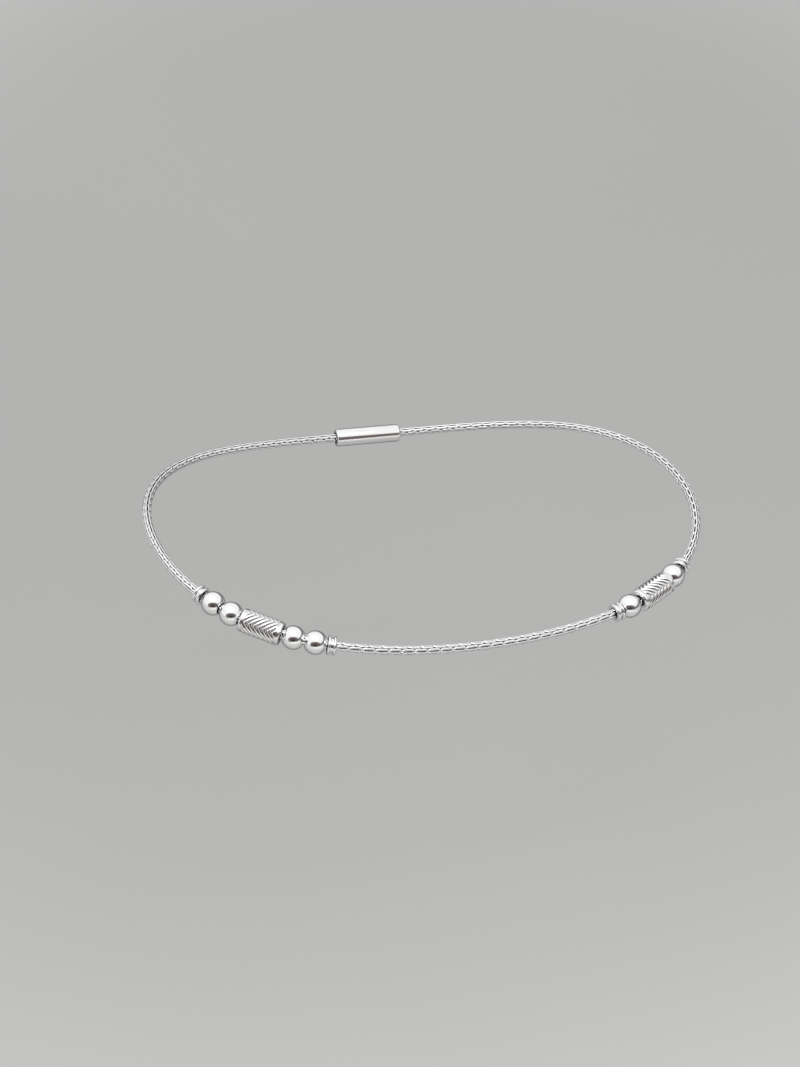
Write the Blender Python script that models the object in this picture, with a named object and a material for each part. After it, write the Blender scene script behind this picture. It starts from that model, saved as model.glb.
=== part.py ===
"""An anklet: a round silver chain that carries two groups of beads, with a barrel clasp at the back.

Units are metres. The origin is the middle of the ankle opening, with +Z up the leg.
-X is the toe side, +X is the heel side, and -Y is the front, where the beads are.
Run it with: blender --background --python part.py
"""

import math

import bmesh
import bpy
from mathutils import Matrix, Vector

# The chain's loop, measured on its centre line
LOOP_LENGTH = 0.0965
LOOP_WIDTH = 0.0668
LOOP_FULLNESS = 0.115
LOOP_TAPER = 0.019
LOOP_TILT = math.radians(4.7)
LOOP_SAG = 0.0055
CHAIN_DIAMETER = 0.0015

# Gaps that let the pieces slide on the chain
BORE_CLEARANCE = 0.00025
BEAD_GAP = 0.00028
CHAIN_END_GAP = 0.0003

# Balls
BALL_DIAMETER = 0.004
BALL_LIP_WALL = 0.00018
BALL_LIP_LENGTH = 0.0001

# Stoppers with two flanges
SPOOL_DIAMETER = 0.00315
SPOOL_LENGTH = 0.0014
SPOOL_FLANGE = 0.00048
SPOOL_HUB_WALL = 0.00025

# Barrel beads with a herringbone of raised ridges
TUBE_DIAMETER = 0.0041
TUBE_LENGTH = 0.0072
TUBE_RELIEF = 0.00018
TUBE_COLLAR_LENGTH = 0.0004
TUBE_CHAMFER = 0.0003
RIDGE_PITCH = 0.0008
HERRINGBONE_BANDS = 6
COLUMNS_PER_BAND = 4
TUBE_ROLLS = {"tube_bead_1": math.radians(-32), "tube_bead_2": math.radians(22)}

# Barrel clasp, which takes both ends of the chain
CLASP_DIAMETER = 0.0032
CLASP_LENGTH = 0.012
CLASP_SOCKET_DEPTH = 0.0038
CLASP_EDGE = 0.0004

# How finely the round pieces are faceted
SIDES = 16
BALL_STEPS = 8
ROUND_EDGE_STEPS = 4
CHAIN_STEP_DIAMETERS = 2.5

# Places along the loop, as shares of its length, from the heel round the back to the toe and the front
CLASP_SHARE = 0.25
GROUPS = (
    {
        "share": 0.6106,
        "kinds": ("spool", "ball", "ball", "tube_bead", "ball", "ball", "spool"),
    },
    {
        "share": 0.8757,
        "kinds": ("spool", "ball", "tube_bead", "ball", "spool"),
    },
)

# Sizes worked out from the ones above
CHAIN_RADIUS = CHAIN_DIAMETER / 2
BORE_RADIUS = CHAIN_RADIUS + BORE_CLEARANCE
BALL_RADIUS = BALL_DIAMETER / 2
BALL_LIP_RADIUS = BORE_RADIUS + BALL_LIP_WALL
BALL_CAP_HEIGHT = math.sqrt(BALL_RADIUS ** 2 - BALL_LIP_RADIUS ** 2)
BALL_LENGTH = 2 * (BALL_CAP_HEIGHT + BALL_LIP_LENGTH)
LENGTHS = {"ball": BALL_LENGTH, "spool": SPOOL_LENGTH, "tube_bead": TUBE_LENGTH}
LOOP_SAMPLES = 2000

# Finish of each kind of piece: colour, roughness and metallic value
FINISHES = {
    "chain": ((0.86, 0.86, 0.87, 1), 0.18, 1),
    "clasp": ((0.90, 0.90, 0.91, 1), 0.12, 1),
    "ball": ((0.93, 0.93, 0.93, 1), 0.05, 1),
    "spool": ((0.91, 0.91, 0.92, 1), 0.10, 1),
    "tube_bead": ((0.90, 0.90, 0.91, 1), 0.14, 1),
}


def clear_scene():
    for old in list(bpy.data.objects):
        bpy.data.objects.remove(old)


def silver(kind):
    """The material of one kind of piece."""
    name = f"{kind}_silver"
    if name in bpy.data.materials:
        return bpy.data.materials[name]
    colour, roughness, metallic = FINISHES[kind]
    material = bpy.data.materials.new(name)
    material.use_nodes = True
    shader = material.node_tree.nodes["Principled BSDF"]
    shader.inputs["Base Color"].default_value = colour
    shader.inputs["Roughness"].default_value = roughness
    shader.inputs["Metallic"].default_value = metallic
    return material


def loop_point(turn):
    """A point of the chain's centre line; turn runs from 0 at the heel to 1, round the back first."""
    angle = math.tau * turn
    along = math.cos(angle)
    across = math.sin(angle)
    fullness = (1 + LOOP_FULLNESS * math.cos(2 * angle)) / (1 - LOOP_FULLNESS)
    x = LOOP_LENGTH / 2 * along
    y = LOOP_WIDTH / 2 * across * (fullness - LOOP_TAPER * along)
    z = -math.tan(LOOP_TILT) * x - LOOP_SAG * across ** 2
    return Vector((x, y, z))


def measured_loop():
    """The distance run along the centre line at each of its samples."""
    distances = [0.0]
    last = loop_point(0)
    for index in range(1, LOOP_SAMPLES + 1):
        point = loop_point(index / LOOP_SAMPLES)
        distances.append(distances[-1] + (point - last).length)
        last = point
    return distances


DISTANCES = measured_loop()
CHAIN_LOOP = DISTANCES[-1]


def point_at(distance):
    """The point of the centre line that lies this far along it."""
    distance = distance % CHAIN_LOOP
    low = 0
    high = LOOP_SAMPLES
    while high - low > 1:
        middle = (low + high) // 2
        if DISTANCES[middle] <= distance:
            low = middle
        else:
            high = middle
    part = (distance - DISTANCES[low]) / (DISTANCES[high] - DISTANCES[low])
    return loop_point((low + part) / LOOP_SAMPLES)


def strung_pieces():
    """Each bead and stopper with the two joints of the chain that it sits between."""
    counts = {kind: 0 for kind in LENGTHS}
    pieces = []
    for group in GROUPS:
        spans = [LENGTHS[kind] + BEAD_GAP for kind in group["kinds"]]
        start = group["share"] * CHAIN_LOOP - sum(spans) / 2
        for kind, span in zip(group["kinds"], spans):
            counts[kind] += 1
            pieces.append({"kind": kind, "name": f"{kind}_{counts[kind]}", "start": start, "end": start + span})
            start += span
    return pieces


def chain_route(pieces):
    """The chain's points: straight through each bead and clasp socket, and even steps between them."""
    clasp_middle = CLASP_SHARE * CHAIN_LOOP
    mouth = clasp_middle + CLASP_LENGTH / 2
    far_mouth = clasp_middle + CHAIN_LOOP - CLASP_LENGTH / 2
    fixed = [mouth]
    for piece in pieces:
        if not math.isclose(fixed[-1], piece["start"]):
            fixed.append(piece["start"])
        fixed.append(piece["end"])
    fixed.append(far_mouth)
    starts = {round(piece["start"], 9) for piece in pieces}
    points = []
    for near, far in zip(fixed, fixed[1:]):
        points.append(point_at(near))
        if round(near, 9) not in starts:
            steps = max(1, round((far - near) / (CHAIN_STEP_DIAMETERS * CHAIN_DIAMETER)))
            for step in range(1, steps):
                points.append(point_at(near + (far - near) * step / steps))
    points.append(point_at(far_mouth))
    inward = (points[-1] - points[0]).normalized()
    reach = CLASP_SOCKET_DEPTH - CHAIN_END_GAP
    return [points[0] + inward * reach] + points + [points[-1] - inward * reach]


def add_object(name, mesh, kind):
    new = bpy.data.objects.new(name, mesh)
    bpy.context.scene.collection.objects.link(new)
    if not mesh.materials:
        mesh.materials.append(silver(kind))
    return new


def finished_mesh(name, bm):
    """Turn a closed bmesh into a smooth shaded mesh."""
    bmesh.ops.recalc_face_normals(bm, faces=bm.faces)
    mesh = bpy.data.meshes.new(name)
    bm.to_mesh(mesh)
    bm.free()
    mesh.shade_smooth()
    mesh.set_sharp_from_angle(angle=math.radians(35))
    return mesh


def turned_mesh(name, profile, closed):
    """Spin a profile of (radius, height) points round the Z axis; an open one ends on the axis."""
    bm = bmesh.new()
    verts = [bm.verts.new((radius, 0, height)) for radius, height in profile]
    edges = [bm.edges.new(pair) for pair in zip(verts, verts[1:])]
    if closed:
        edges.append(bm.edges.new((verts[-1], verts[0])))
    bmesh.ops.spin(bm, geom=verts + edges, cent=(0, 0, 0), axis=(0, 0, 1), angle=math.tau,
                   steps=SIDES, use_merge=True)
    bmesh.ops.remove_doubles(bm, verts=bm.verts, dist=1e-7)
    return finished_mesh(name, bm)


def arc(centre, radius, start, end, steps):
    """Points of an arc in the profile's plane, angles in degrees from the radius direction."""
    points = []
    for index in range(steps + 1):
        angle = math.radians(start + (end - start) * index / steps)
        points.append((centre[0] + radius * math.cos(angle), centre[1] + radius * math.sin(angle)))
    return points


def ball_mesh():
    """A drilled ball with a small lip round each end of its bore."""
    half = BALL_LENGTH / 2
    reach = math.degrees(math.asin(BALL_CAP_HEIGHT / BALL_RADIUS))
    profile = [(BORE_RADIUS, -half), (BALL_LIP_RADIUS, -half)]
    profile += arc((0, 0), BALL_RADIUS, -reach, reach, BALL_STEPS)
    profile += [(BALL_LIP_RADIUS, half), (BORE_RADIUS, half)]
    return turned_mesh("ball", profile, closed=True)


def spool_mesh():
    """A stopper: a thin hub between two flanges with round rims."""
    half = SPOOL_LENGTH / 2
    hub = BORE_RADIUS + SPOOL_HUB_WALL
    rim = SPOOL_FLANGE / 2
    crown = SPOOL_DIAMETER / 2 - rim
    profile = [(BORE_RADIUS, -half), (crown, -half)]
    profile += arc((crown, -half + rim), rim, -90, 90, ROUND_EDGE_STEPS)[1:]
    profile += [(hub, -half + SPOOL_FLANGE), (hub, half - SPOOL_FLANGE)]
    profile += arc((crown, half - rim), rim, -90, 90, ROUND_EDGE_STEPS)
    profile += [(BORE_RADIUS, half)]
    return turned_mesh("spool", profile, closed=True)


def clasp_mesh():
    """A barrel with a socket in each end."""
    half = CLASP_LENGTH / 2
    bottom = half - CLASP_SOCKET_DEPTH
    radius = CLASP_DIAMETER / 2
    profile = [(0, -bottom), (BORE_RADIUS, -bottom), (BORE_RADIUS, -half)]
    profile += arc((radius - CLASP_EDGE, -half + CLASP_EDGE), CLASP_EDGE, -90, 0, ROUND_EDGE_STEPS)
    profile += arc((radius - CLASP_EDGE, half - CLASP_EDGE), CLASP_EDGE, 0, 90, ROUND_EDGE_STEPS)
    profile += [(BORE_RADIUS, half), (BORE_RADIUS, bottom), (0, bottom)]
    return turned_mesh("clasp", profile, closed=False)


def tube_bead_mesh():
    """A drilled barrel whose side carries slanting ridges that turn back at each band's edge."""
    columns = HERRINGBONE_BANDS * COLUMNS_PER_BAND
    crest = TUBE_DIAMETER / 2
    valley = crest - TUBE_RELIEF
    collar = crest - TUBE_RELIEF / 2
    half = TUBE_LENGTH / 2
    field = half - TUBE_CHAMFER - TUBE_COLLAR_LENGTH
    rows = 2 * round(2 * field / RIDGE_PITCH)
    plain_start = [(BORE_RADIUS, half), (BORE_RADIUS, -half), (collar - TUBE_CHAMFER, -half),
                   (collar, -half + TUBE_CHAMFER), (collar, -half + TUBE_CHAMFER + TUBE_COLLAR_LENGTH)]
    plain_end = [(collar, half - TUBE_CHAMFER - TUBE_COLLAR_LENGTH), (collar, half - TUBE_CHAMFER),
                 (collar - TUBE_CHAMFER, half)]
    row_step = 2 * field / rows

    def ring_point(ring, column):
        if ring < len(plain_start):
            radius, height = plain_start[ring]
        elif ring < len(plain_start) + rows - 1:
            row = ring - len(plain_start) + 1
            radius = crest if (row + column) % 2 else valley
            height = -field + row * row_step
        else:
            radius, height = plain_end[ring - len(plain_start) - rows + 1]
        angle = math.tau * column / columns
        return (radius * math.cos(angle), radius * math.sin(angle), height)

    rings = len(plain_start) + rows - 1 + len(plain_end)
    bm = bmesh.new()
    grid = [[bm.verts.new(ring_point(ring, column)) for column in range(columns)] for ring in range(rings)]
    for ring in range(rings):
        low = grid[ring]
        high = grid[(ring + 1) % rings]
        for column in range(columns):
            beside = (column + 1) % columns
            rising = (column // COLUMNS_PER_BAND) % 2 == 0
            a, b, c, d = low[column], low[beside], high[beside], high[column]
            if rising:
                bm.faces.new((a, b, d))
                bm.faces.new((b, c, d))
            else:
                bm.faces.new((a, b, c))
                bm.faces.new((a, c, d))
    return finished_mesh("tube_bead", bm)


def chain_object(points):
    """The chain as a tube of its outer diameter."""
    curve = bpy.data.curves.new("chain", "CURVE")
    curve.dimensions = "3D"
    curve.bevel_depth = CHAIN_RADIUS
    curve.bevel_resolution = 2
    curve.use_fill_caps = True
    curve.twist_mode = "MINIMUM"
    spline = curve.splines.new("POLY")
    spline.points.add(len(points) - 1)
    for target, point in zip(spline.points, points):
        target.co = (*point, 1)
    curve.materials.append(silver("chain"))
    chain = bpy.data.objects.new("chain", curve)
    bpy.context.scene.collection.objects.link(chain)


def place_along(target, start, end, roll=0):
    """Centre a piece between two points, with its own Z axis from one to the other, and roll it about that."""
    along = (end - start).normalized()
    side = Vector((0, 0, 1)).cross(along).normalized()
    upward = along.cross(side)
    turned = Matrix((side, upward, along)).transposed().to_4x4()
    target.matrix_world = Matrix.Translation((start + end) / 2) @ turned @ Matrix.Rotation(roll, 4, "Z")


def build_anklet():
    clear_scene()
    pieces = strung_pieces()
    points = chain_route(pieces)
    chain_object(points)

    meshes = {"ball": ball_mesh(), "spool": spool_mesh(), "tube_bead": tube_bead_mesh()}
    for piece in pieces:
        new = add_object(piece["name"], meshes[piece["kind"]], piece["kind"])
        roll = TUBE_ROLLS.get(piece["name"], 0)
        place_along(new, point_at(piece["start"]), point_at(piece["end"]), roll)

    clasp = add_object("clasp", clasp_mesh(), "clasp")
    place_along(clasp, points[-2], points[1])


build_anklet()
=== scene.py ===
"""The looks of the silver anklet: linked chain, polished balls, cut barrel beads, stoppers and clasp.

Units are metres, in the part's own frame: the origin is the middle of the loop's opening, +Z is up, +X is
the end of the loop beside the shorter group of beads, and -Y is the front.
"""

import math

import bmesh
import bpy
import numpy as np
from mathutils import Matrix, Vector


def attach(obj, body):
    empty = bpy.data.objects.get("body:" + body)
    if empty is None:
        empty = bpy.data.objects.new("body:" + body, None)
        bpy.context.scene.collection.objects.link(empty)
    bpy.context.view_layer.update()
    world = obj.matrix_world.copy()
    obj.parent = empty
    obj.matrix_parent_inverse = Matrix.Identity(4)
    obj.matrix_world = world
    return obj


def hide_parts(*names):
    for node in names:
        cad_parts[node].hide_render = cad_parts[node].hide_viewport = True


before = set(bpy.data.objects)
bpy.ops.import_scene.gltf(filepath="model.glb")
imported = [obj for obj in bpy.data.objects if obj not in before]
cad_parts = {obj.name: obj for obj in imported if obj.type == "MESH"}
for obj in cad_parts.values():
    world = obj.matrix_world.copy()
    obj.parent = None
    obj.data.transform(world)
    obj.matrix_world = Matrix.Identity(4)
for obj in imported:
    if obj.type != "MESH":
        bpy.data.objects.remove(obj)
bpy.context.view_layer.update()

# The chain's loop, as the part has it
LOOP_LENGTH = 0.0965
LOOP_WIDTH = 0.0668
LOOP_FULLNESS = 0.115
LOOP_TAPER = 0.019
LOOP_TILT = math.radians(4.7)
LOOP_SAG = 0.0055
CHAIN_DIAMETER = 0.0015
BORE_CLEARANCE = 0.00025
BEAD_GAP = 0.00028
CHAIN_END_GAP = 0.0003

# Beads, stoppers and clasp, as the part has them
BALL_DIAMETER = 0.004
BALL_LIP_WALL = 0.00018
BALL_LIP_LENGTH = 0.0001
SPOOL_DIAMETER = 0.00315
SPOOL_LENGTH = 0.0014
SPOOL_FLANGE = 0.00048
SPOOL_HUB_WALL = 0.00025
TUBE_DIAMETER = 0.0041
TUBE_LENGTH = 0.0072
TUBE_RELIEF = 0.00018
TUBE_COLLAR_LENGTH = 0.0004
TUBE_CHAMFER = 0.0003
RIDGE_PITCH = 0.0008
HERRINGBONE_BANDS = 6
TUBE_ROLLS = {"tube_bead_1": math.radians(-32), "tube_bead_2": math.radians(22)}
CLASP_DIAMETER = 0.0032
CLASP_LENGTH = 0.012
CLASP_SOCKET_DEPTH = 0.0038
CLASP_EDGE = 0.0004
# Where the clasp's middle lies, as a share of the way round
CLASP_SHARE = 0.25
# Each group of beads: where its middle lies, as a share of the way round, and its pieces in order
GROUPS = (
    {"share": 0.6106, "kinds": ("spool", "ball", "ball", "tube_bead", "ball", "ball", "spool")},
    {"share": 0.8757, "kinds": ("spool", "ball", "tube_bead", "ball", "spool")},
)

# Sizes worked out from the ones above
CHAIN_RADIUS = CHAIN_DIAMETER / 2
BORE_RADIUS = CHAIN_RADIUS + BORE_CLEARANCE
BALL_RADIUS = BALL_DIAMETER / 2
BALL_LIP_RADIUS = BORE_RADIUS + BALL_LIP_WALL
BALL_CAP_HEIGHT = math.sqrt(BALL_RADIUS ** 2 - BALL_LIP_RADIUS ** 2)
BALL_LENGTH = 2 * (BALL_CAP_HEIGHT + BALL_LIP_LENGTH)
LENGTHS = {"ball": BALL_LENGTH, "spool": SPOOL_LENGTH, "tube_bead": TUBE_LENGTH}

# The chain's links: each is one loop of flat wire, folded so that its two arms lie on opposite sides
ROW_PITCH = 0.0022
WIRE_WIDTH = 0.00043
WIRE_THICKNESS = 0.00026
WIRE_SIDES = 8
ARM_SPREAD = 0.00027
FIRST_ROW_ANGLE = math.radians(15)
# The power that makes the wire's oval section a little square, where 1 would leave it an oval
WIRE_SQUARENESS = 0.8
# How much shade is painted on the wire's inner side, from 0 to 1
INNER_SHADE = 0.6
# The least that the last link stops short of the part's chain end, as a share of the row pitch
LAST_LINK_GAP = 0.1
# Half an arm, from inside the chain to the loop's end: shares of the row pitch, chain radius, arm spread
# and wire width, with how far the wire's face turns back in degrees, and how much shade is painted on it in
# the recess
LINK_HALF_ARM = (
    {"along": -0.62, "out": 0.00, "aside": 0.42, "turn": 90, "wide": 0.62, "recess_shade": 1.0},
    {"along": -0.61, "out": 0.15, "aside": 0.42, "turn": 75, "wide": 0.62, "recess_shade": 1.0},
    {"along": -0.50, "out": 0.25, "aside": 0.44, "turn": 10, "wide": 0.62, "recess_shade": 1.0},
    {"along": -0.10, "out": 0.27, "aside": 0.46, "turn": 5, "wide": 0.62, "recess_shade": 1.0},
    {"along": 0.00, "out": 0.42, "aside": 0.46, "turn": 50, "wide": 0.62, "recess_shade": 0.8},
    {"along": 0.03, "out": 0.62, "aside": 0.48, "turn": 65, "wide": 0.66, "recess_shade": 0.3},
    {"along": 0.10, "out": 0.86, "aside": 0.64, "turn": 25, "wide": 0.80, "recess_shade": 0.0},
    {"along": 0.20, "out": 0.84, "aside": 0.84, "turn": 0, "wide": 0.92, "recess_shade": 0.0},
    {"along": 0.36, "out": 0.75, "aside": 1.00, "turn": 0, "wide": 1.00, "recess_shade": 0.0},
    {"along": 0.86, "out": 0.74, "aside": 1.02, "turn": -3, "wide": 0.96, "recess_shade": 0.0},
    {"along": 0.97, "out": 0.73, "aside": 0.92, "turn": -3, "wide": 0.86, "recess_shade": 0.0},
    {"along": 1.02, "out": 0.72, "aside": 0.52, "turn": -4, "wide": 0.78, "recess_shade": 0.0},
    {"along": 1.03, "out": 0.72, "aside": 0.00, "turn": -4, "wide": 0.78, "recess_shade": 0.0},
)

# The barrel beads' ridges: grid rows to a ridge and grid columns to a band, how flat the crests are, how
# deep the plain collar lies, from 0 at a crest to 1 in a valley, and over how many rows the ridges rise
# from it
ROWS_PER_RIDGE = 8
COLUMNS_PER_BAND = 16
CREST_FLATNESS = 2.2
COLLAR_CUT = 0.5
RISING_ROWS = 3

# How finely the round pieces are made: sides all round, and steps in each arc of a profile
BALL_SIDES = 72
SIDES = 64
BALL_STEPS = 40
LIP_STEPS = 8
RIM_STEPS = 12
CLASP_EDGE_STEPS = 10
CHAMFER_STEPS = 6
# Edges that turn by more than this stay sharp
SHARP_ANGLE = math.radians(50)

# How finely the loop is sampled, and how far its kinks at the beads are rounded
LOOP_SAMPLES = 8000
KINK_ROUNDING = 0.00025

# The material slot of each kind of piece, and its finish: the two tones that it drifts between, its range
# of roughness, and the tone of the shade painted in its recesses where it has them
SLOTS = {
    "ball": "ball_silver",
    "spool": "spool_silver",
    "tube_bead": "bead_silver",
    "clasp": "clasp_silver",
    "chain": "chain_silver",
}
FINISHES = {
    "ball": {"tones": ((0.90, 0.90, 0.90), (0.86, 0.86, 0.87)), "roughness": (0.03, 0.07)},
    "spool": {"tones": ((0.89, 0.89, 0.89), (0.85, 0.85, 0.86)), "roughness": (0.06, 0.12)},
    "tube_bead": {"tones": ((0.90, 0.90, 0.90), (0.85, 0.85, 0.86)), "roughness": (0.15, 0.22),
                  "shade_tone": (0.50, 0.49, 0.48)},
    "clasp": {"tones": ((0.89, 0.89, 0.89), (0.85, 0.85, 0.86)), "roughness": (0.07, 0.14)},
    "chain": {"tones": ((0.90, 0.90, 0.91), (0.86, 0.86, 0.87)), "roughness": (0.09, 0.16),
              "shade_tone": (0.06, 0.055, 0.052)},
}
# How much of the light the silver gives back where it is seen edge on
EDGE_TINT = (0.25, 0.25, 0.25)
# The drift of the tone, and the fine handling marks, which change the gloss and dent the surface
DRIFT_NOISE = {"Scale": 420.0, "Detail": 3.0, "Roughness": 0.55}
DRIFT_RANGE = (0.35, 0.7)
MARKS_NOISE = {"Scale": 9000.0, "Detail": 4.0, "Roughness": 0.6}
MARKS_STRETCH = (1, 4, 1)
MARKS_RANGE = (0.3, 0.7)
MARKS_STRENGTH = 0.12
MARKS_DEPTH = 0.000004

# The camera: the direction that the photograph was taken from, and where the loop's middle shows in it
CAMERA_AZIMUTH = math.radians(-17)
CAMERA_ELEVATION = math.radians(35)
CAMERA_DISTANCE = 0.515
CAMERA_LENS = 100
CAMERA_CLIPS = (0.01, 20)
SENSOR = 36
PHOTO_WIDTH = 800
PHOTO_HEIGHT = 1067
PHOTO_MIDDLE = (424.5, 508.9)

# The floor lies well below the anklet, as it does where the anklet is worn
FLOOR_DROP = 0.075
FLOOR_RADIUS = 2.5
FLOOR_SIDES = 96
FLOOR_ROUGHNESS = 0.35
# The floor's tones inside its painted shade, which drift at random, and its tone outside it
FLOOR_SHADED_TONES = ((0.39, 0.39, 0.385), (0.42, 0.42, 0.415))
FLOOR_NOISE = {"Scale": 6.0, "Detail": 4.0}
FLOOR_OUTER_TONE = (0.60, 0.60, 0.592)
# The floor's painted shade, a darker middle stretch: how far behind the anklet its middle lies, its half
# sizes, and where it fades, from 0 at the rim to 1 in the middle
FLOOR_SHADE_OFFSET = 0.17
FLOOR_SHADE_SIZE = (0.27, 0.46, 1)
FLOOR_SHADE_FADE = (0.0, 0.6)

# The studio's light: between which heights the horizon turns into the light overhead, the horizon's tones
# on the camera's right and left, where one of them turns into the other, and the light overhead
HORIZON = (0.03, 0.52)
HORIZON_RIGHT = (0.10, 0.10, 0.105)
HORIZON_LEFT = (0.95, 0.95, 0.96)
HORIZON_TURN = (-0.45, 0.55)
OVERHEAD_LIGHT = (1.05, 1.05, 1.05)
# The unlit part of the room, low in front: how high its middle is, its half sizes as shares of the view all
# round, and its tones at the edge and in the middle with where each fades in, from the rim to the middle
UNLIT_HEIGHT = 0.18
UNLIT_SIZE = (0.84, 2.0, 0.56)
UNLIT_TONES = (
    {"tone": (0.15, 0.125, 0.118), "fade": (0.0, 0.22)},
    {"tone": (0.035, 0.029, 0.028), "fade": (0.45, 0.9)},
)

# The soft lights: where each stands, where it is aimed, its width and length, its power in watts, and how
# wide its beam opens in degrees
SOFTBOXES = (
    {"name": "softbox_above", "place": (-0.15, -0.1, 0.95), "aim": (0, 0, 0),
     "size": (0.8, 0.8), "power": 1.0, "spread": 180},
    {"name": "softbox_front", "place": (-0.05, -0.45, 0.62), "aim": (-0.05, -0.42, -FLOOR_DROP),
     "size": (0.6, 0.4), "power": 1.2, "spread": 62},
)


def loop_points(turns):
    """Points of the chain's centre line; turns run from 0 at the +X end to 1, round the back first."""
    angle = math.tau * turns
    along = np.cos(angle)
    across = np.sin(angle)
    fullness = (1 + LOOP_FULLNESS * np.cos(2 * angle)) / (1 - LOOP_FULLNESS)
    x = LOOP_LENGTH / 2 * along
    y = LOOP_WIDTH / 2 * across * (fullness - LOOP_TAPER * along)
    z = -math.tan(LOOP_TILT) * x - LOOP_SAG * across ** 2
    return np.stack([x, y, z], axis=-1)


def unit(vectors):
    """The vectors, each at length 1."""
    return vectors / np.linalg.norm(vectors, axis=-1, keepdims=True)


class Loop:
    """The chain's centre line, which runs straight through each bead and through the clasp."""

    def __init__(self):
        self.curve = loop_points(np.linspace(0, 1, LOOP_SAMPLES + 1))
        steps = np.linalg.norm(np.diff(self.curve, axis=0), axis=1)
        self.run = np.concatenate([[0], np.cumsum(steps)])
        self.length = self.run[-1]
        self.pieces = self.strung_pieces()
        self.clasp_middle = CLASP_SHARE * self.length
        self.clasp_span = (self.clasp_middle - CLASP_LENGTH / 2, self.clasp_middle + CLASP_LENGTH / 2)
        self.line = self.rounded(self.straightened())
        self.tangents = unit(np.roll(self.line, -1, axis=0) - np.roll(self.line, 1, axis=0))

    def smooth_at(self, distance):
        """The unbroken curve at these distances."""
        near = distance % self.length
        return np.stack([np.interp(near, self.run, self.curve[:, axis]) for axis in range(3)], axis=-1)

    def ends(self, span):
        """The two points of the unbroken curve between which a piece sits."""
        return self.smooth_at(np.array(span))

    def strung_pieces(self):
        """Each bead and stopper with the stretch of the chain that it sits on."""
        counts = {kind: 0 for kind in LENGTHS}
        pieces = []
        for group in GROUPS:
            lengths = [LENGTHS[kind] + BEAD_GAP for kind in group["kinds"]]
            start = group["share"] * self.length - sum(lengths) / 2
            for kind, length in zip(group["kinds"], lengths):
                counts[kind] += 1
                name = f"{kind}_{counts[kind]}"
                pieces.append({"kind": kind, "name": name, "span": (start, start + length)})
                start += length
        return pieces

    def straightened(self):
        """The curve in even steps, with a straight run through each piece."""
        even = np.arange(LOOP_SAMPLES) * self.length / LOOP_SAMPLES
        line = self.smooth_at(even)
        for start, end in [piece["span"] for piece in self.pieces] + [self.clasp_span]:
            inside = (even > start) & (even < end)
            share = ((even[inside] - start) / (end - start))[:, None]
            near, far = self.ends((start, end))
            line[inside] = near * (1 - share) + far * share
        return line

    def rounded(self, line):
        """The line with its kinks rounded by a short moving average."""
        reach = max(1, round(KINK_ROUNDING / self.length * LOOP_SAMPLES))
        shifts = range(-reach, reach + 1)
        weights = [reach + 1 - abs(shift) for shift in shifts]
        total = sum(np.roll(line, shift, axis=0) * weight for shift, weight in zip(shifts, weights))
        return total / sum(weights)

    def frames(self, distance):
        """Point, tangent, outward and upward direction at these distances."""
        place = (np.asarray(distance) % self.length) / self.length * LOOP_SAMPLES
        low = np.floor(place).astype(int) % LOOP_SAMPLES
        high = (low + 1) % LOOP_SAMPLES
        share = (place - np.floor(place))[..., None]
        point = self.line[low] * (1 - share) + self.line[high] * share
        tangent = unit(self.tangents[low] * (1 - share) + self.tangents[high] * share)
        outward = unit(np.cross(tangent, np.array([0.0, 0.0, 1.0])))
        upward = np.cross(outward, tangent)
        return point, tangent, outward, upward


def new_object(name, mesh, material):
    """A new object; a mesh that several objects share takes its material only once."""
    if not mesh.materials:
        mesh.materials.append(material)
    new = bpy.data.objects.new(name, mesh)
    bpy.context.scene.collection.objects.link(new)
    return new


def mesh_from(name, verts, faces, painted_shade=None):
    """A smooth shaded mesh; painted_shade is how far into a recess each vertex lies, from 0 to 1, and sets
    the shade painted there.
    """
    mesh = bpy.data.meshes.new(name)
    mesh.from_pydata([tuple(vert) for vert in verts], [], faces)
    mesh.update()
    mesh.shade_smooth()
    if painted_shade is not None:
        layer = mesh.attributes.new("painted_shade", "FLOAT", "POINT")
        layer.data.foreach_set("value", np.asarray(painted_shade, dtype=np.float32))
    return mesh


def link_path():
    """One whole link, going once round it: along, out, aside, turn, wide, recess_shade (the shade painted
    on it in the recess) and which side it is on.
    """
    half = []
    for row in LINK_HALF_ARM:
        half.append((row["along"] * ROW_PITCH, row["out"] * CHAIN_RADIUS, row["aside"] * ARM_SPREAD,
                     math.radians(row["turn"]), row["wide"], row["recess_shade"], 1))
    half = np.array(half)
    mirrored = half * (1, 1, -1, 1, 1, 1, 1)
    arm = np.concatenate([half, mirrored[-2::-1]])
    other = arm[1:-1] * (1, -1, -1, 1, 1, 1, -1)
    return np.concatenate([arm, other])


def link_starts(loop):
    """Where along the loop each link starts, from one socket of the clasp round to the other."""
    reach = CLASP_LENGTH / 2 - CLASP_SOCKET_DEPTH + CHAIN_END_GAP
    front = -LINK_HALF_ARM[0]["along"] * ROW_PITCH
    tail = (LINK_HALF_ARM[-1]["along"] + LAST_LINK_GAP) * ROW_PITCH
    first = loop.clasp_middle + reach + front
    last = loop.clasp_middle + loop.length - reach - tail
    links = int((last - first) / (ROW_PITCH / 2)) + 1
    return [first + link * ROW_PITCH / 2 for link in range(links)]


def squared(values):
    """Sines or cosines of an oval, pushed out so that it is a little square."""
    return np.sign(values) * np.abs(values) ** WIRE_SQUARENESS


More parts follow.
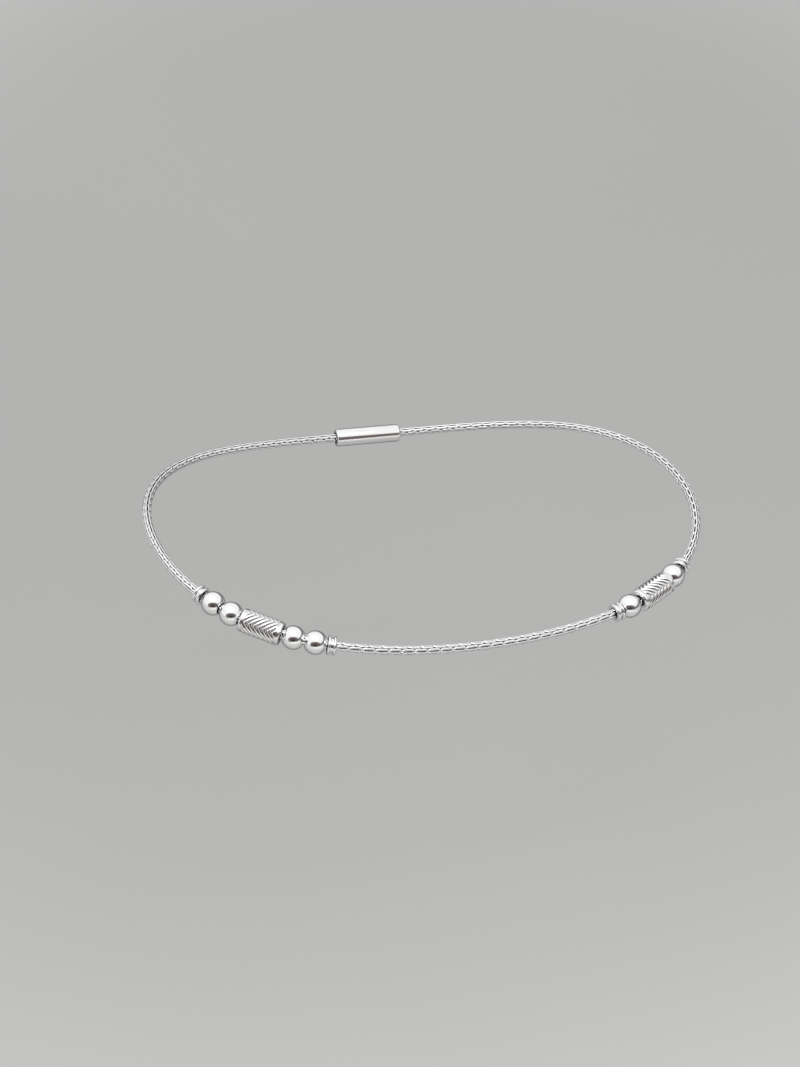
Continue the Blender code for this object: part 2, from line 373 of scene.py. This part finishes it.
def chain_mesh(loop):
    """All the links of the chain, as one mesh."""
    along, out, aside, turn, wide, recess_shade, side = link_path().T[:, :, None]
    count = len(along)
    corners = np.arange(WIRE_SIDES) * math.tau / WIRE_SIDES
    ring_wide = squared(np.cos(corners)) * WIRE_WIDTH / 2
    ring_thick = squared(np.sin(corners)) * WIRE_THICKNESS / 2
    # Painted shade: the wire is darker in the recess and on its inner side, which faces into the chain
    inner = np.clip(-np.sin(corners), 0, 1)
    painted_shade_of_link = np.clip(recess_shade + INNER_SHADE * inner, 0, 1).ravel()
    verts = []
    painted_shade = []
    faces = []
    for link, start in enumerate(link_starts(loop)):
        row = FIRST_ROW_ANGLE + (link % 2) * math.pi / 2
        point, tangent, outward, upward = loop.frames(start + along[:, 0])
        arm_way = math.cos(row) * outward + math.sin(row) * upward
        side_way = -math.sin(row) * outward + math.cos(row) * upward
        centre = point + arm_way * out + side_way * aside
        run = unit(np.roll(centre, -1, axis=0) - np.roll(centre, 1, axis=0))
        # The wire's face looks away from the chain's axis, or back along the chain where the wire climbs
        away = unit(arm_way * side * np.maximum(np.abs(out), CHAIN_RADIUS / 2) + side_way * aside)
        face = away * np.cos(turn) - tangent * np.sin(turn)
        face = unit(face - run * np.sum(face * run, axis=1, keepdims=True))
        width = np.cross(run, face)
        ring = (centre[:, None] + width[:, None] * (wide * ring_wide)[:, :, None]
                + face[:, None] * ring_thick[None, :, None])
        base = len(verts)
        verts.extend(ring.reshape(-1, 3))
        painted_shade.extend(painted_shade_of_link)
        for station in range(count):
            near = base + station * WIRE_SIDES
            far = base + (station + 1) % count * WIRE_SIDES
            for corner in range(WIRE_SIDES):
                beside = (corner + 1) % WIRE_SIDES
                faces.append((near + corner, near + beside, far + beside, far + corner))
    return mesh_from("chain_links", verts, faces, painted_shade)


def arc(centre, radius, start, end, steps):
    """Points of an arc in the profile's plane, angles in degrees from the radius direction."""
    points = []
    for index in range(steps + 1):
        angle = math.radians(start + (end - start) * index / steps)
        points.append((centre[0] + radius * math.cos(angle), centre[1] + radius * math.sin(angle)))
    return points


def turned_mesh(name, profile, sides, closed=True):
    """Turn a profile of (radius, height) points round the Z axis; an open one ends on the axis.

    The profile runs up the piece's outside, so that the faces look outward.
    """
    verts = []
    rings = []
    for radius, height in profile:
        # A point on the axis is a single one, which the whole ring shares
        count = sides if radius > 0 else 1
        rings.append([len(verts) + side % count for side in range(sides + 1)])
        for side in range(count):
            angle = math.tau * side / sides
            verts.append((radius * math.cos(angle), radius * math.sin(angle), height))
    if closed:
        rings.append(rings[0])
    faces = []
    for near, far in zip(rings, rings[1:]):
        for side in range(sides):
            corners = (near[side], near[side + 1], far[side + 1], far[side])
            # Beside the axis two corners are the same point, and the face is a triangle
            faces.append(tuple(dict.fromkeys(corners)))
    mesh = mesh_from(name, verts, faces)
    mesh.set_sharp_from_angle(angle=SHARP_ANGLE)
    return mesh


def ball_mesh():
    """A polished ball with a rolled lip round each end of its bore."""
    half = BALL_LENGTH / 2
    roll = BALL_LIP_WALL / 2
    reach = math.degrees(math.asin(BALL_CAP_HEIGHT / BALL_RADIUS))
    profile = arc((BORE_RADIUS + roll, -half + roll), roll, 180, 360, LIP_STEPS)
    profile += arc((0, 0), BALL_RADIUS, -reach, reach, BALL_STEPS)
    profile += arc((BORE_RADIUS + roll, half - roll), roll, 0, 180, LIP_STEPS)
    return turned_mesh("ball", profile, BALL_SIDES)


def spool_mesh():
    """A stopper: a hub between two flanges with round rims."""
    half = SPOOL_LENGTH / 2
    hub = BORE_RADIUS + SPOOL_HUB_WALL
    rim = SPOOL_FLANGE / 2
    crown = SPOOL_DIAMETER / 2 - rim
    profile = [(BORE_RADIUS, -half), (crown, -half)]
    profile += arc((crown, -half + rim), rim, -90, 90, RIM_STEPS)[1:]
    profile += [(hub, -half + SPOOL_FLANGE), (hub, half - SPOOL_FLANGE)]
    profile += arc((crown, half - rim), rim, -90, 90, RIM_STEPS)
    profile += [(BORE_RADIUS, half)]
    return turned_mesh("spool", profile, SIDES)


def clasp_mesh():
    """A barrel with a socket in each end."""
    half = CLASP_LENGTH / 2
    bottom = half - CLASP_SOCKET_DEPTH
    crown = CLASP_DIAMETER / 2 - CLASP_EDGE
    profile = [(0, -bottom), (BORE_RADIUS, -bottom), (BORE_RADIUS, -half)]
    profile += arc((crown, -half + CLASP_EDGE), CLASP_EDGE, -90, 0, CLASP_EDGE_STEPS)
    profile += arc((crown, half - CLASP_EDGE), CLASP_EDGE, 0, 90, CLASP_EDGE_STEPS)
    profile += [(BORE_RADIUS, half), (BORE_RADIUS, bottom), (0, bottom)]
    return turned_mesh("clasp", profile, SIDES, closed=False)


def ridge_cut(row, rows, column):
    """How deep the ridged side is cut at a grid point, from 0 on a crest to 1 in a valley."""
    fold = column % (2 * COLUMNS_PER_BAND)
    shift = min(fold, 2 * COLUMNS_PER_BAND - fold)
    phase = ((row + shift) % ROWS_PER_RIDGE) / ROWS_PER_RIDGE
    cut = abs(2 * phase - 1) ** CREST_FLATNESS
    edge = min(row, rows - row) / RISING_ROWS
    return COLLAR_CUT + (cut - COLLAR_CUT) * min(1, edge)


def tube_bead_mesh(roll):
    """A drilled barrel whose side carries slanting ridges that turn back at each band's edge."""
    columns = HERRINGBONE_BANDS * COLUMNS_PER_BAND
    crest = TUBE_DIAMETER / 2
    collar = crest - TUBE_RELIEF * COLLAR_CUT
    half = TUBE_LENGTH / 2
    field = half - TUBE_CHAMFER - TUBE_COLLAR_LENGTH
    rows = round(2 * field / RIDGE_PITCH) * ROWS_PER_RIDGE
    heights = np.linspace(-field, field, rows + 1)
    start = [(BORE_RADIUS, half), (BORE_RADIUS, -half)]
    start += arc((collar - TUBE_CHAMFER, -half + TUBE_CHAMFER), TUBE_CHAMFER, -90, 0, CHAMFER_STEPS)
    end = arc((collar - TUBE_CHAMFER, half - TUBE_CHAMFER), TUBE_CHAMFER, 0, 90, CHAMFER_STEPS)
    rings = len(start) + rows + 1 + len(end)
    verts = []
    painted_shade = []
    for ring in range(rings):
        row = ring - len(start)
        for column in range(columns):
            cut = 0.0
            if row < 0:
                radius, height = start[ring]
            elif row <= rows:
                cut = ridge_cut(row, rows, column)
                radius = crest - TUBE_RELIEF * cut
                height = heights[row]
            else:
                radius, height = end[row - rows - 1]
            angle = roll + math.tau * column / columns
            verts.append((radius * math.cos(angle), radius * math.sin(angle), height))
            # How deep a valley is also sets the shade painted in it
            painted_shade.append(cut)
    faces = []
    for ring in range(rings):
        low = ring * columns
        high = (ring + 1) % rings * columns
        for column in range(columns):
            beside = (column + 1) % columns
            near, near_beside = low + column, low + beside
            far, far_beside = high + column, high + beside
            # Each square of the grid is split along its ridge
            if (column // COLUMNS_PER_BAND) % 2 == 0:
                faces += [(near, near_beside, far), (near_beside, far_beside, far)]
            else:
                faces += [(near, near_beside, far_beside), (near, far_beside, far)]
    mesh = mesh_from("tube_bead", verts, faces, painted_shade)
    mesh.set_sharp_from_angle(angle=SHARP_ANGLE)
    return mesh


def add_node(tree, kind, inputs=None, **properties):
    """A shader node with some of its properties and inputs set."""
    node = tree.nodes.new(kind)
    for name, value in properties.items():
        setattr(node, name, value)
    for name, value in (inputs or {}).items():
        node.inputs[name].default_value = value
    return node


def noise(tree, place, inputs):
    """How strong a noise texture is at a place."""
    node = add_node(tree, "ShaderNodeTexNoise", inputs)
    tree.links.new(place, node.inputs["Vector"])
    return node.outputs["Fac"]


def ranged(tree, value, source, target=(0, 1), smooth=False):
    """A value moved from one range to another, with soft ends where it is smooth."""
    inputs = {"From Min": source[0], "From Max": source[1], "To Min": target[0], "To Max": target[1]}
    ends = "SMOOTHSTEP" if smooth else "LINEAR"
    node = add_node(tree, "ShaderNodeMapRange", inputs, interpolation_type=ends)
    tree.links.new(value, node.inputs["Value"])
    return node.outputs["Result"]


def mixed(tree, factor, *colours):
    """A mix of two colours, each of them a tone or the output of a node."""
    node = add_node(tree, "ShaderNodeMix", data_type="RGBA")
    tree.links.new(factor, node.inputs["Factor"])
    for name, colour in zip("AB", colours):
        if isinstance(colour, tuple):
            node.inputs[name].default_value = (*colour, 1)
        else:
            tree.links.new(colour, node.inputs[name])
    return node.outputs["Result"]


def nearness(tree, place, middle, sizes):
    """How near a place is to the middle of an oval turned to the camera, from 0 at its rim to 1."""
    inputs = {"Location": middle, "Rotation": (0, 0, CAMERA_AZIMUTH), "Scale": sizes}
    oval = add_node(tree, "ShaderNodeMapping", inputs, vector_type="TEXTURE")
    tree.links.new(place, oval.inputs["Vector"])
    gradient = add_node(tree, "ShaderNodeTexGradient", gradient_type="SPHERICAL")
    tree.links.new(oval.outputs["Vector"], gradient.inputs["Vector"])
    return gradient.outputs["Fac"]


def new_material(name):
    """A material with its node tree and its shader."""
    material = bpy.data.materials.new(name)
    material.use_nodes = True
    return material, material.node_tree, material.node_tree.nodes["Principled BSDF"]


def silver(kind):
    """Polished silver: a tone that drifts, fine handling marks, and shade painted in its recesses where it
    has them.
    """
    finish = FINISHES[kind]
    material, tree, shader = new_material(SLOTS[kind])
    shader.inputs["Metallic"].default_value = 1
    shader.inputs["Specular Tint"].default_value = (*EDGE_TINT, 1)
    place = add_node(tree, "ShaderNodeTexCoord").outputs["Object"]

    drift = ranged(tree, noise(tree, place, DRIFT_NOISE), DRIFT_RANGE)
    tone = mixed(tree, drift, *finish["tones"])
    # Painted shade: the recesses are darkened toward the shade tone by the painted_shade attribute
    if "shade_tone" in finish:
        painted_shade = add_node(tree, "ShaderNodeAttribute", attribute_name="painted_shade")
        tone = mixed(tree, painted_shade.outputs["Fac"], tone, finish["shade_tone"])
    tree.links.new(tone, shader.inputs["Base Color"])

    stretch = add_node(tree, "ShaderNodeMapping", {"Scale": MARKS_STRETCH}, vector_type="POINT")
    tree.links.new(place, stretch.inputs["Vector"])
    marks = noise(tree, stretch.outputs["Vector"], MARKS_NOISE)
    tree.links.new(ranged(tree, marks, MARKS_RANGE, finish["roughness"]), shader.inputs["Roughness"])
    bump = add_node(tree, "ShaderNodeBump", {"Strength": MARKS_STRENGTH, "Distance": MARKS_DEPTH})
    tree.links.new(marks, bump.inputs["Height"])
    tree.links.new(bump.outputs["Normal"], shader.inputs["Normal"])
    return material


def place_along(target, start, end):
    """Centre a piece between two points, with its own Z axis from one to the other."""
    along = Vector(end - start).normalized()
    side = Vector((0, 0, 1)).cross(along).normalized()
    upward = along.cross(side)
    turned = Matrix((side, upward, along)).transposed().to_4x4()
    target.matrix_world = Matrix.Translation(Vector((start + end) / 2)) @ turned


def dress(piece, node):
    """The piece stands for a node of the part and rides on its one body."""
    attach(piece, "root")
    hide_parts(node)


def build_anklet():
    loop = Loop()
    materials = {kind: silver(kind) for kind in FINISHES}
    meshes = {"ball": ball_mesh(), "spool": spool_mesh()}
    for piece in loop.pieces:
        kind = piece["kind"]
        name = piece["name"]
        mesh = meshes[kind] if kind in meshes else tube_bead_mesh(TUBE_ROLLS[name])
        new = new_object(f"bright_{name}", mesh, materials[kind])
        place_along(new, *loop.ends(piece["span"]))
        dress(new, name)

    chain = new_object("linked_chain", chain_mesh(loop), materials["chain"])
    dress(chain, "chain")

    clasp = new_object("barrel_clasp", clasp_mesh(), materials["clasp"])
    place_along(clasp, *loop.ends(loop.clasp_span))
    dress(clasp, "clasp")


def build_camera():
    """The camera looks from the photograph's side, moved so that the loop's middle shows where it did."""
    back = Vector((math.sin(CAMERA_AZIMUTH) * math.cos(CAMERA_ELEVATION),
                   -math.cos(CAMERA_AZIMUTH) * math.cos(CAMERA_ELEVATION), math.sin(CAMERA_ELEVATION)))
    right = Vector((math.cos(CAMERA_AZIMUTH), math.sin(CAMERA_AZIMUTH), 0))
    upward = back.cross(right)
    pixel = CAMERA_DISTANCE * SENSOR / CAMERA_LENS / PHOTO_HEIGHT
    aside = (PHOTO_MIDDLE[0] - PHOTO_WIDTH / 2) * pixel
    above = (PHOTO_HEIGHT / 2 - PHOTO_MIDDLE[1]) * pixel
    data = bpy.data.cameras.new("camera")
    data.lens = CAMERA_LENS
    data.sensor_width = SENSOR
    data.clip_start, data.clip_end = CAMERA_CLIPS
    camera = bpy.data.objects.new("camera", data)
    bpy.context.scene.collection.objects.link(camera)
    camera.location = back * CAMERA_DISTANCE - right * aside - upward * above
    camera.rotation_mode = "QUATERNION"
    camera.rotation_quaternion = back.to_track_quat("Z", "Y")
    bpy.context.scene.camera = camera


def build_floor():
    """A plain pale floor, round, well below the anklet, and a little darker, with painted shade, where the
    camera sees it.
    """
    bm = bmesh.new()
    bmesh.ops.create_circle(bm, cap_ends=True, segments=FLOOR_SIDES, radius=FLOOR_RADIUS)
    mesh = bpy.data.meshes.new("floor")
    bm.to_mesh(mesh)
    bm.free()
    material, tree, shader = new_material("floor_pale")
    shader.inputs["Roughness"].default_value = FLOOR_ROUGHNESS
    place = add_node(tree, "ShaderNodeTexCoord").outputs["Object"]
    tone = mixed(tree, noise(tree, place, FLOOR_NOISE), *FLOOR_SHADED_TONES)
    # Painted shade: a darker stretch in the middle, where the camera sees the floor
    middle = (-FLOOR_SHADE_OFFSET * math.sin(CAMERA_AZIMUTH), FLOOR_SHADE_OFFSET * math.cos(CAMERA_AZIMUTH), 0)
    fade = ranged(tree, nearness(tree, place, middle, FLOOR_SHADE_SIZE), FLOOR_SHADE_FADE, smooth=True)
    tree.links.new(mixed(tree, fade, FLOOR_OUTER_TONE, tone), shader.inputs["Base Color"])
    floor = new_object("floor", mesh, material)
    floor.location = (0, 0, -FLOOR_DROP)


def build_world():
    """A studio, lit from above and from the camera's left, and unlit low in front."""
    world = bpy.data.worlds.new("studio")
    bpy.context.scene.world = world
    world.use_nodes = True
    tree = world.node_tree
    place = add_node(tree, "ShaderNodeTexCoord").outputs["Generated"]

    leftward = add_node(tree, "ShaderNodeVectorMath", operation="DOT_PRODUCT")
    leftward.inputs[1].default_value = (-math.cos(CAMERA_AZIMUTH), -math.sin(CAMERA_AZIMUTH), 0)
    tree.links.new(place, leftward.inputs[0])
    turn = ranged(tree, leftward.outputs["Value"], HORIZON_TURN, smooth=True)
    horizon = mixed(tree, turn, HORIZON_RIGHT, HORIZON_LEFT)

    parts = add_node(tree, "ShaderNodeSeparateXYZ")
    tree.links.new(place, parts.inputs["Vector"])
    height = ranged(tree, parts.outputs["Z"], HORIZON, smooth=True)
    light = mixed(tree, height, horizon, OVERHEAD_LIGHT)

    front = (math.sin(CAMERA_AZIMUTH), -math.cos(CAMERA_AZIMUTH), UNLIT_HEIGHT)
    near = nearness(tree, place, front, UNLIT_SIZE)
    for unlit in UNLIT_TONES:
        light = mixed(tree, ranged(tree, near, unlit["fade"], smooth=True), light, unlit["tone"])
    tree.links.new(light, tree.nodes["Background"].inputs["Color"])


def add_softbox(name, place, aim, size, power, spread):
    """A soft area light at one point that is aimed at another; spread is how wide its beam opens."""
    data = bpy.data.lights.new(name, "AREA")
    data.shape = "RECTANGLE"
    data.size, data.size_y = size
    data.energy = power
    data.spread = math.radians(spread)
    lamp = bpy.data.objects.new(name, data)
    bpy.context.scene.collection.objects.link(lamp)
    lamp.location = place
    lamp.rotation_mode = "QUATERNION"
    lamp.rotation_quaternion = (Vector(place) - Vector(aim)).to_track_quat("Z", "Y")


build_camera()
build_anklet()
build_floor()
build_world()
for softbox in SOFTBOXES:
    add_softbox(**softbox)
bpy.context.scene.view_settings.view_transform = "Standard"
